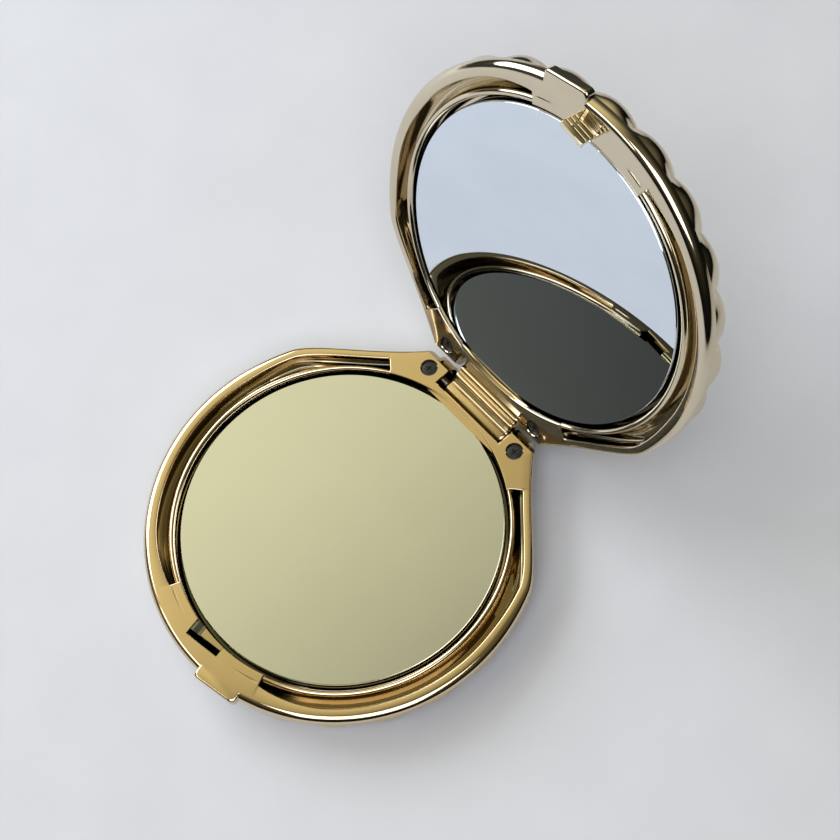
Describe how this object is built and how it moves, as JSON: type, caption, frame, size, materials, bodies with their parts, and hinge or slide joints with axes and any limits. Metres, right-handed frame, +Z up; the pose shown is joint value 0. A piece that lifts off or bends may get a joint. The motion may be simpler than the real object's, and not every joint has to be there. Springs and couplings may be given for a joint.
{
  "type": "scallop shell compact mirror",
  "caption": "Gold-plated pocket compact shaped like a scallop shell, standing open on a link hinge with a round mirror in each half.",
  "frame": {"origin": "on the flat foot under the base half, below the centre of its mirror", "axes": "+Z up, +Y from the clasp towards the hinge, +X towards the base half's thumb tab"},
  "size_m": [0.0688, 0.1002, 0.0717],
  "materials": {
    "plated_shell": "champagne gold metallised, polished",
    "plated_frame": "champagne gold metallised, polished",
    "plated_link": "champagne gold metallised, polished",
    "plated_hook": "bright gold metallised",
    "silvered_glass": "back-silvered glass",
    "black_pad": "black foam adhesive",
    "black_screw": "blackened",
    "steel_pin": "ground"
  },
  "bodies": {
    "base": {"base_outer_shell": "plated_shell", "base_inner_frame": "plated_frame", "base_mirror": "silvered_glass", "base_mirror_pad": "black_pad", "base_screw_left": "black_screw", "base_screw_right": "black_screw", "base_hinge_pin": "steel_pin"},
    "link": {"hinge_link": "plated_link"},
    "lid": {"lid_hinge_pin": "steel_pin", "lid_outer_shell": "plated_shell", "lid_inner_frame": "plated_frame", "lid_mirror": "silvered_glass", "lid_mirror_pad": "black_pad", "lid_screw_left": "black_screw", "lid_screw_right": "black_screw", "latch_hook": "plated_hook"}
  },
  "joints": [
    {"name": "link_on_base_pin", "type": "hinge", "parent": "base", "child": "link", "pos_m": [0, 0.0313, 0.0049], "axis": [1, 0, 0], "range_deg": [0, 56.5]},
    {"name": "lid_on_link_pin", "type": "hinge", "parent": "link", "child": "lid", "pos_m": [0, 0.03772, 0.00915], "axis": [1, 0, 0], "range_deg": [0, 56.5]}
  ],
  "couplings": [
    {"joint": "link_on_base_pin", "follows": "lid_on_link_pin", "ratio": 1}
  ]
}
